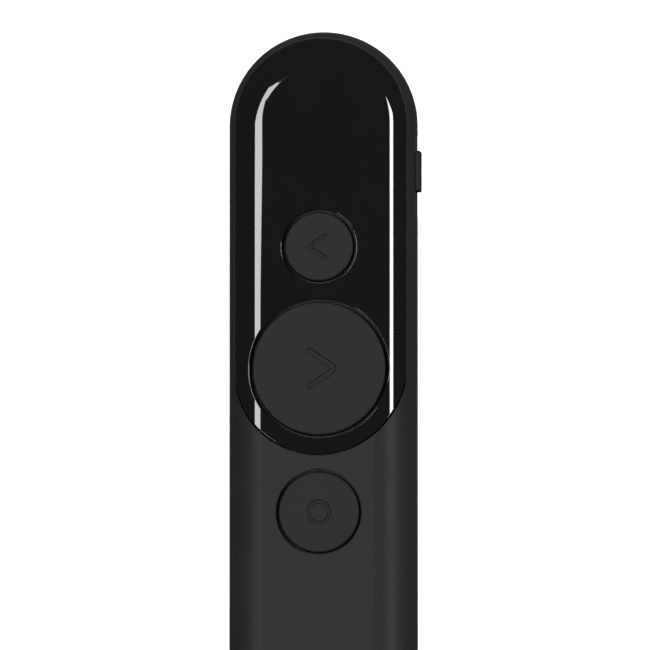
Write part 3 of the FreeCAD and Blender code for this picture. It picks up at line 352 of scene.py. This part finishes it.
class Surface:
    """Collects points and faces, with the true surface normal at every corner of each face."""

    def __init__(self):
        self.points = []
        self.faces = []
        self.normals = []

    def loop(self, places):
        """Adds points and gives their numbers."""
        first = len(self.points)
        self.points.extend(places)
        return list(range(first, len(self.points)))

    def face(self, corners, normals):
        """Adds a face, turned so that it looks the way its normals point."""
        a, b, c = (self.points[corner] for corner in corners[:3])
        facing = sum(normals, Vector())
        order = 1 if (b - a).cross(c - a).dot(facing) >= 0 else -1
        self.faces.append(list(corners)[::order])
        self.normals.extend(list(normals)[::order])

    def band(self, lower, upper, lower_normals, upper_normals):
        """Four-sided faces between two closed loops of the same length."""
        count = len(lower)
        for index in range(count):
            after = (index + 1) % count
            self.face((lower[index], lower[after], upper[after], upper[index]),
                      (lower_normals[index], lower_normals[after], upper_normals[after],
                       upper_normals[index]))

    def loft(self, rings):
        """Bands between each ring and the next; a ring is a loop and its normals."""
        for (lower, lower_normals), (upper, upper_normals) in zip(rings, rings[1:]):
            self.band(lower, upper, lower_normals, upper_normals)

    def fill(self, loops, inner, normal_at):
        """Triangles inside the first loop and outside the others, through loose inner points too."""
        numbers = [number for loop in loops for number in loop] + inner
        plan = [Vector(self.points[number][:2]) / MM for number in numbers]
        edges, first = [], 0
        for loop in loops:
            edges += [(first + index, first + (index + 1) % len(loop)) for index in range(len(loop))]
            first += len(loop)
        places, _, triangles, sources, _, _ = delaunay_2d_cdt(plan, edges, [], 0, PLAN_TOLERANCE)
        outlines = [[Vector(self.points[number][:2]) / MM for number in loop] for loop in loops]
        for triangle in triangles:
            middle = sum((places[corner] for corner in triangle), Vector((0, 0))) / 3
            if not inside(middle, outlines[0]) or any(inside(middle, hole) for hole in outlines[1:]):
                continue
            corners = [numbers[sources[corner][0]] for corner in triangle]
            self.face(corners, [normal_at(self.points[corner]) for corner in corners])

    def build(self, name, body, material, slot, *replaced):
        """Makes the object, which rides on a body and stands for the CAD nodes that it replaces."""
        piece = new_mesh_object(name, self.points, self.faces)
        piece.data.shade_smooth()
        piece.data.normals_split_custom_set(self.normals)
        piece.data.materials.append(material)
        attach(piece, body)
        if replaced:
            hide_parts(*replaced)
        return piece


def inside(point, outline):
    """Whether a point of the plan lies inside a closed outline."""
    hit = False
    before = outline[-1]
    for after in outline:
        if (after.y > point.y) != (before.y > point.y):
            crossing = after.x + (point.y - after.y) * (before.x - after.x) / (before.y - after.y)
            hit ^= point.x < crossing
        before = after
    return hit


def level(place):
    """The normal of a level face, the same at every place."""
    return UP


def circle_points(centre, radius, height, count):
    """Points of a level circle, anticlockwise."""
    turns = [2 * math.pi * index / count for index in range(count)]
    return [Vector((centre[0] + radius * math.cos(turn), centre[1] + radius * math.sin(turn), height))
            for turn in turns]


def from_core(x, y):
    """The level vector from the nearest point of the outer form's core line."""
    return Vector((x, y - min(max(y, TAIL_Y), NOSE_Y)))


def skin_point(x, y, inset=0.0):
    """The point of the outer form's upper side over a point of the plan, sunk by an inset."""
    reach = from_core(x, y).length - FLAT
    radius = SHOULDER - inset
    if reach <= 0:
        return Vector((x, y, TOP_Z - inset))
    return Vector((x, y, TOP_Z - SHOULDER + math.sqrt(max(radius ** 2 - reach ** 2, 0))))


def skin_normal(place):
    """The outer form's normal over a point of the plan."""
    away = from_core(place[0], place[1])
    reach = away.length - FLAT
    if reach <= 0:
        return UP
    lean = min(reach / SHOULDER, 1)
    away.normalize()
    return Vector((away.x * lean, away.y * lean, math.sqrt(1 - lean ** 2)))


def soft_step(share, depth, width):
    """How deep a soft-edged step is, and how steep, at a share of the way down it."""
    return depth * share ** 2 * (3 - 2 * share), depth * 6 * share * (1 - share) / width


def rounded_edge(place, normal, wall, radius):
    """Normals and points, from the face to the wall, of the arc that rounds the edge between them."""
    centre = place - (normal + wall) * (radius / (1 + normal.dot(wall)))
    arc = []
    for step in range(ROUND_STEPS + 1):
        direction = normal.slerp(wall, step / ROUND_STEPS)
        edge = centre + direction * radius
        edge.z = min(edge.z, TOP_Z)
        arc.append((direction, edge))
    return arc


# ---------------------------------------------------------------- glossy inlay

ARC_STEPS = 90
SIDE_STEPS = 36
LEAN_STEP = 3                           # degrees between the rows of inner points on the shoulders
LEAN_STEPS = 15
INNER_ARC_STEPS = 60
INNER_SIDE_STEPS = 50
FLAT_ROW_STEPS = 24
FLAT_ROWS = (-0.75, -0.5, -0.25, 0, 0.25, 0.5, 0.75)


def panel_outline():
    """Plan points of the inlay's edge and the level directions out of it, anticlockwise."""
    points, outward = [], []
    for centre_y, first in ((NOSE_Y, 0.0), (PANEL_REAR_Y, math.pi)):
        for step in range(ARC_STEPS + 1):
            turn = first + math.pi * step / ARC_STEPS
            away = Vector((math.cos(turn), math.sin(turn), 0))
            points.append(Vector((0, centre_y, 0)) + away * PANEL_RADIUS)
            outward.append(away)
        side = outward[-1]
        end_y = PANEL_REAR_Y if centre_y == NOSE_Y else NOSE_Y
        for step in range(1, SIDE_STEPS):
            along = centre_y + (end_y - centre_y) * step / SIDE_STEPS
            points.append(Vector((side.x * PANEL_RADIUS, along, 0)))
            outward.append(side)
    return points, outward


def panel_inner_points():
    """Loose plan points that carry the shoulders' curve between the inlay's edge and its holes."""
    points = []
    length = NOSE_Y - PANEL_REAR_Y + PANEL_RADIUS
    for row in range(LEAN_STEPS + 1):
        reach = FLAT + SHOULDER * math.sin(math.radians(LEAN_STEP * row))
        for step in range(INNER_ARC_STEPS + 1):
            turn = math.pi * step / INNER_ARC_STEPS
            points.append(Vector((reach * math.cos(turn), NOSE_Y + reach * math.sin(turn))))
        for step in range(1, INNER_SIDE_STEPS):
            along = NOSE_Y - length * step / INNER_SIDE_STEPS
            points += [Vector((reach, along)), Vector((-reach, along))]
    for across in FLAT_ROWS:
        for step in range(FLAT_ROW_STEPS + 1):
            along = NOSE_Y + FLAT / 2 - length * step / FLAT_ROW_STEPS
            points.append(Vector((FLAT * across, along)))
    return points


def make_panel(material):
    """The piano-black inlay: it follows the shoulders, and its edge and holes are rounded."""
    skin = Surface()
    holes = [(button_centre(which), button_radius(which) + BUTTON_GAP) for which in ("back", "next")]
    edges = [panel_outline()]
    for centre, radius in holes:
        ring = circle_points(centre, radius, 0, 2 * ARC_STEPS)
        edges.append((ring, [(Vector((*centre, 0)) - place).normalized() for place in ring]))

    tops, bottoms = [], []
    for places, walls in edges:
        arcs = [rounded_edge(skin_point(place.x, place.y), skin_normal(place), wall, PANEL_ROUNDING)
                for place, wall in zip(places, walls)]
        rings = [(skin.loop([arc[step][1] for arc in arcs]), [arc[step][0] for arc in arcs])
                 for step in range(ROUND_STEPS + 1)]
        skin.loft(rings)
        under = skin.loop([skin_point(arc[-1][1].x, arc[-1][1].y, PANEL_THICKNESS) for arc in arcs])
        skin.band(rings[-1][0], under, walls, walls)
        tops.append(rings[0][0])
        bottoms.append(under)

    inner = []
    for place in panel_inner_points():
        along = min(max(place.y, PANEL_REAR_Y), NOSE_Y)
        if Vector((place.x, place.y - along)).length > PANEL_RADIUS - 2 * PANEL_ROUNDING:
            continue
        if all((place - Vector(centre)).length > radius + 2 * PANEL_ROUNDING for centre, radius in holes):
            inner.append(place)
    top_inner = skin.loop([skin_point(place.x, place.y) for place in inner])
    skin.fill(tops, top_inner, skin_normal)
    under_inner = skin.loop([skin_point(place.x, place.y, PANEL_THICKNESS) for place in inner])
    skin.fill(bottoms, under_inner, lambda place: -skin_normal(place))
    skin.build("gloss_inlay", "housing", material, "gloss_panel", "gloss_panel")


# ---------------------------------------------------------------- buttons

BUTTON_STEPS = 144
CAP_STEPS = 14                          # of an arrow head's round ends and bend
GROOVE_STEPS = 6                        # of an icon's soft edge


def button_centre(which):
    """Where a button's axis is in the plan."""
    low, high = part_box(f"{which}_button")
    return ((low[0] + high[0]) / 2, (low[1] + high[1]) / 2)


def button_radius(which):
    """The radius of a button's face, which is less than its flange's."""
    low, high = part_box(f"{which}_button")
    return (high[0] - low[0]) / 2 - BUTTON_FLANGE


def stroke_outline(path, bend, reach):
    """A closed outline at a reach from a two-armed path whose corner is bent to a radius."""
    start, corner, end = path
    before = (start - corner).normalized()
    after = (end - corner).normalized()
    opening = before.angle(after) / 2
    inward = (before + after).normalized()
    centre = corner + inward * (bend / math.sin(opening))
    sweep = math.pi / 2 - opening
    side = -1 if before.cross(after) > 0 else 1

    def turned(direction, angle):
        """A direction of the plan, turned anticlockwise."""
        return Matrix.Rotation(angle, 2) @ direction

    out = -inward
    line = []
    for step in range(CAP_STEPS + 1):
        away = turned(out, side * sweep * (2 * step / CAP_STEPS - 1))
        line.append((centre + away * bend, away))
    first, last = line[0], line[-1]
    arms = [(start, first[1]), *line, (end, last[1])]
    outer = [place + away * reach for place, away in arms]
    inner = [place - away * reach for place, away in arms]
    end_cap = [end + turned(last[1], side * math.pi * step / CAP_STEPS) * reach
               for step in range(1, CAP_STEPS)]
    start_cap = [start + turned(first[1], side * math.pi * (1 + step / CAP_STEPS)) * reach
                 for step in range(1, CAP_STEPS)]
    return outer + end_cap + inner[::-1] + start_cap


def groove_rings(skin, outline_at, half_width, top, outside=1):
    """A soft-edged step down from the face, and its first and last loop.

    outline_at gives the outline at a reach; outside is -1 where the face lies inside the outline.
    """
    rings = []
    for step in range(GROOVE_STEPS + 1):
        share = step / GROOVE_STEPS
        reach = half_width + outside * ICON_SOFTNESS * (1 - 2 * share)
        depth, slope = soft_step(share, ICON_DEPTH, 2 * ICON_SOFTNESS)
        outline = outline_at(reach)
        beyond = outline_at(reach + outside * ICON_SOFTNESS)
        normals = []
        for place, further in zip(outline, beyond):
            away = (Vector(further) - Vector(place)).normalized()
            normals.append(Vector((-away.x * slope, -away.y * slope, 1)).normalized())
        rings.append((skin.loop([Vector((*place, top - depth)) for place in outline]), normals))
    skin.loft(rings)
    return rings[0][0], rings[-1][0]


def turned_body(skin, which, centre, radius, top):
    """The button's rounded edge, skirt, flange and hollow underside; gives the loop round its face."""
    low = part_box(f"{which}_button")[0][2]
    flange_top = low + BUTTON_COLLAR
    spokes = circle_points((0, 0), 1, 0, BUTTON_STEPS)
    rings = []
    for step in range(ROUND_STEPS + 1):
        turn = math.pi / 2 * step / ROUND_STEPS
        reach = radius - BUTTON_ROUNDING * (1 - math.sin(turn))
        height = top - BUTTON_ROUNDING * (1 - math.cos(turn))
        rings.append((skin.loop(circle_points(centre, reach, height, BUTTON_STEPS)),
                      [spoke * math.sin(turn) + UP * math.cos(turn) for spoke in spokes]))
    skin.loft(rings)
    face_loop, before = rings[0][0], rings[-1][0]
    flange = radius + BUTTON_FLANGE
    inner = radius - BUTTON_RIM
    ceiling = top - BUTTON_SKIN
    # The corners of the profile, and the way the band that leads to each one faces: outward, upward.
    corners = ((radius, flange_top, 1, 0), (flange, flange_top, 0, 1), (flange, low, 1, 0),
               (inner, low, 0, -1), (inner, ceiling, -1, 0), (BUTTON_STEM, ceiling, 0, -1),
               (BUTTON_STEM, low, 1, 0))
    for reach, height, out, up in corners:
        ring = skin.loop(circle_points(centre, reach, height, BUTTON_STEPS))
        facing = [spoke * out + UP * up for spoke in spokes]
        skin.band(before, ring, facing, facing)
        before = ring
    skin.face(before, [-UP] * BUTTON_STEPS)
    return face_loop


def make_chevron_button(which, arm_x, arm_y, tip_x, half_stroke, bend, material):
    """A button with an arrow head sunk into its face.

    The arms end at arm_x and arm_y either side of the middle, and run to a corner at tip_x.
    """
    skin = Surface()
    centre, radius = Vector(button_centre(which)), button_radius(which)
    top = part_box(f"{which}_button")[1][2]
    face_loop = turned_body(skin, which, centre, radius, top)
    path = [centre + Vector((arm_x, arm_y)), centre + Vector((tip_x, 0)), centre + Vector((arm_x, -arm_y))]
    lip, floor = groove_rings(skin, lambda reach: stroke_outline(path, bend, reach), half_stroke, top)
    skin.fill([face_loop, lip], [], level)
    skin.fill([floor], [], level)
    skin.build(f"{which}_button_cap", f"{which}_key", material, "button_plastic", f"{which}_button")


def make_ring_button(which, ring_radius, half_stroke, material):
    """A button with a ring sunk into its face."""
    skin = Surface()
    centre, radius = button_centre(which), button_radius(which)
    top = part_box(f"{which}_button")[1][2]
    face_loop = turned_body(skin, which, centre, radius, top)

    def plan_circle(reach):
        """A circle round the button's axis, in the plan."""
        return [place.xy for place in circle_points(centre, reach, 0, BUTTON_STEPS)]

    outer_lip, outer_floor = groove_rings(skin, plan_circle, ring_radius + half_stroke, top)
    inner_lip, inner_floor = groove_rings(skin, plan_circle, ring_radius - half_stroke, top, outside=-1)
    skin.fill([face_loop, outer_lip], [], level)
    skin.fill([outer_floor, inner_floor], [], level)
    skin.fill([inner_lip], [], level)
    skin.build(f"{which}_button_cap", f"{which}_key", material, "button_plastic", f"{which}_button")


# ---------------------------------------------------------------- slide knob

KNOB_CORNER = 0.4 * MM
KNOB_ROUNDING = 0.12 * MM
KNOB_PAD = 0.57 * MM                    # the grip's sides go down this far from its crown
KNOB_NECK = (1.5 * MM, 0.7 * MM)        # half sizes, along the flank and upright
KNOB_PLATE = (2.5 * MM, 1.1 * MM)       # half sizes too
KNOB_PLATE_THICKNESS = 0.8 * MM
KNOB_FORK = 0.65 * MM                   # half width of the notch for the switch lever
KNOB_GROOVES = 7
KNOB_GROOVE_PITCH = 0.68 * MM
KNOB_GROOVE = 0.2 * MM                  # half width of a groove
KNOB_GROOVE_DEPTH = 0.12 * MM
KNOB_GROOVE_END = 1.08 * MM             # half length of a groove, short of the grip's edges
KNOB_GROOVE_SIDE = 0.6                  # share of a groove's half width that its soft side takes
KNOB_GROOVE_ROUND = 0.98                # how round a groove's ends are
CORNER_STEPS = 8


def rounded_rectangle(half_long, half_high, corner, height):
    """Points and outward directions of a level rounded rectangle, anticlockwise."""
    points, outward = [], []
    for quarter, (along, upright) in enumerate(((1, 1), (-1, 1), (-1, -1), (1, -1))):
        centre = Vector((along * (half_long - corner), upright * (half_high - corner), height))
        for step in range(CORNER_STEPS + 1):
            turn = math.pi / 2 * (quarter + step / CORNER_STEPS)
            away = Vector((math.cos(turn), math.sin(turn), 0))
            points.append(centre + away * corner)
            outward.append(away)
    return points, outward


def add_stalk(skin, foot, neck_top, plate_top, root):
    """The square neck under the grip, whose underside starts at foot, and the notched plate below."""
    numbers = {}

    def point(along, upright, height):
        """The number of the point at a place, which is added once only."""
        place = (along, upright, height)
        if place not in numbers:
            numbers[place] = skin.loop([Vector(place)])[0]
        return numbers[place]

    def quad(corners, facing):
        """A four-sided face."""
        skin.face([point(*corner) for corner in corners], [Vector(facing)] * len(corners))

    neck, high_neck = KNOB_NECK
    plate, high_plate = KNOB_PLATE
    fork = KNOB_FORK
    ring = ((neck, high_neck), (fork, high_neck), (-fork, high_neck), (-neck, high_neck),
            (-neck, -high_neck), (-fork, -high_neck), (fork, -high_neck), (neck, -high_neck))
    hole = [point(along, upright, neck_top) for along, upright in ring]
    skin.fill([foot, hole], [], lambda place: -UP)
    for (along, upright), (next_along, next_upright) in zip(ring, ring[1:] + ring[:1]):
        facing = Vector((upright - next_upright, next_along - along, 0))
        facing *= -1 if facing.dot(Vector((along + next_along, upright + next_upright, 0))) < 0 else 1
        quad(((along, upright, neck_top), (next_along, next_upright, neck_top),
              (next_along, next_upright, plate_top), (along, upright, plate_top)), facing.normalized())
    quad(((-fork, -high_neck, plate_top), (fork, -high_neck, plate_top), (fork, high_neck, plate_top),
          (-fork, high_neck, plate_top)), (0, 0, -1))
    for side in (-1, 1):
        along = [side * fork, side * neck, side * plate]
        upright = [-high_plate, -high_neck, high_neck, high_plate]
        for first, last in zip(along, along[1:]):
            for under, over in zip(upright, upright[1:]):
                corners = ((first, under), (last, under), (last, over), (first, over))
                if not (abs(last) <= neck and over == high_neck):
                    quad([(*corner, plate_top) for corner in corners], (0, 0, 1))
                quad([(*corner, root) for corner in corners], (0, 0, -1))
            for end in (-high_plate, high_plate):
                quad(((first, end, root), (last, end, root), (last, end, plate_top),
                      (first, end, plate_top)), (0, math.copysign(1, end), 0))
        for under, over in zip(upright, upright[1:]):
            for end, facing in ((along[0], -side), (along[-1], side)):
                quad(((end, under, root), (end, over, root), (end, over, plate_top),
                      (end, under, plate_top)), (facing, 0, 0))


def make_knob(material):
    """The ribbed slide knob, with its neck and the forked plate that drives the switch lever.

    It is built lying on its back, along the flank, upright, outward, and turned at the end.
    """
    low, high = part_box("slider_knob")
    crown, root = high[0], low[0]
    half_long, half_high = (high[1] - low[1]) / 2, (high[2] - low[2]) / 2
    skin = Surface()

    rings = []
    for step in range(ROUND_STEPS + 1):
        turn = math.pi / 2 * step / ROUND_STEPS
        inset = KNOB_ROUNDING * (1 - math.sin(turn))
        points, outward = rounded_rectangle(half_long - inset, half_high - inset, KNOB_CORNER - inset,
                                            crown - KNOB_ROUNDING * (1 - math.cos(turn)))
        rings.append((skin.loop(points), [away * math.sin(turn) + UP * math.cos(turn) for away in outward]))
    skin.loft(rings)
    points, outward = rounded_rectangle(half_long, half_high, KNOB_CORNER, crown - KNOB_PAD)
    foot = skin.loop(points)
    skin.band(rings[-1][0], foot, outward, outward)

    lips = []
    for index in range(KNOB_GROOVES):
        middle = Vector(((index - (KNOB_GROOVES - 1) / 2) * KNOB_GROOVE_PITCH, 0, 0))
        grooves = []
        for share in STEP_SHARES:
            reach = KNOB_GROOVE * (1 - KNOB_GROOVE_SIDE * share)
            depth, slope = soft_step(share, KNOB_GROOVE_DEPTH, KNOB_GROOVE_SIDE * KNOB_GROOVE)
            points, outward = rounded_rectangle(reach, KNOB_GROOVE_END - KNOB_GROOVE + reach,
                                                reach * KNOB_GROOVE_ROUND, crown - depth)
            grooves.append((skin.loop([place + middle for place in points]),
                            [(UP - away * slope).normalized() for away in outward]))
        skin.loft(grooves)
        skin.fill([grooves[-1][0]], [], level)
        lips.append(grooves[0][0])
    skin.fill([rings[0][0], *lips], [], level)

    add_stalk(skin, foot, crown - KNOB_PAD, root + KNOB_PLATE_THICKNESS, root)

    middle = Vector((0, (low[1] + high[1]) / 2, (low[2] + high[2]) / 2))
    skin.points = [Vector((place.z, place.x, place.y)) + middle for place in skin.points]
    skin.normals = [Vector((normal.z, normal.x, normal.y)) for normal in skin.normals]
    skin.build("knob_cap", "slider", material, "knob_plastic", "slider_knob")


# ---------------------------------------------------------------- assembly

def dress_nodes(finishes):
    """Gives every CAD node the material of its slot."""
    slots = node_slots()
    for node, thing in frame["nodes"].items():
        thing.data.materials.clear()
        thing.data.materials.append(finishes[slots[node]])


make_camera()
make_studio()
finishes = make_finishes()
dress_nodes(finishes)
make_panel(finishes["gloss_panel"])
button_finish = finishes["button_plastic"]
make_chevron_button("back", arm_x=1.0 * MM, arm_y=1.62 * MM, tip_x=-1.66 * MM, half_stroke=0.25 * MM,
                    bend=0.45 * MM, material=button_finish)
make_chevron_button("next", arm_x=-1.4 * MM, arm_y=2.65 * MM, tip_x=2.55 * MM, half_stroke=0.38 * MM,
                    bend=0.6 * MM, material=button_finish)
make_ring_button("home", ring_radius=1.57 * MM, half_stroke=0.21 * MM, material=button_finish)
make_knob(finishes["knob_plastic"])
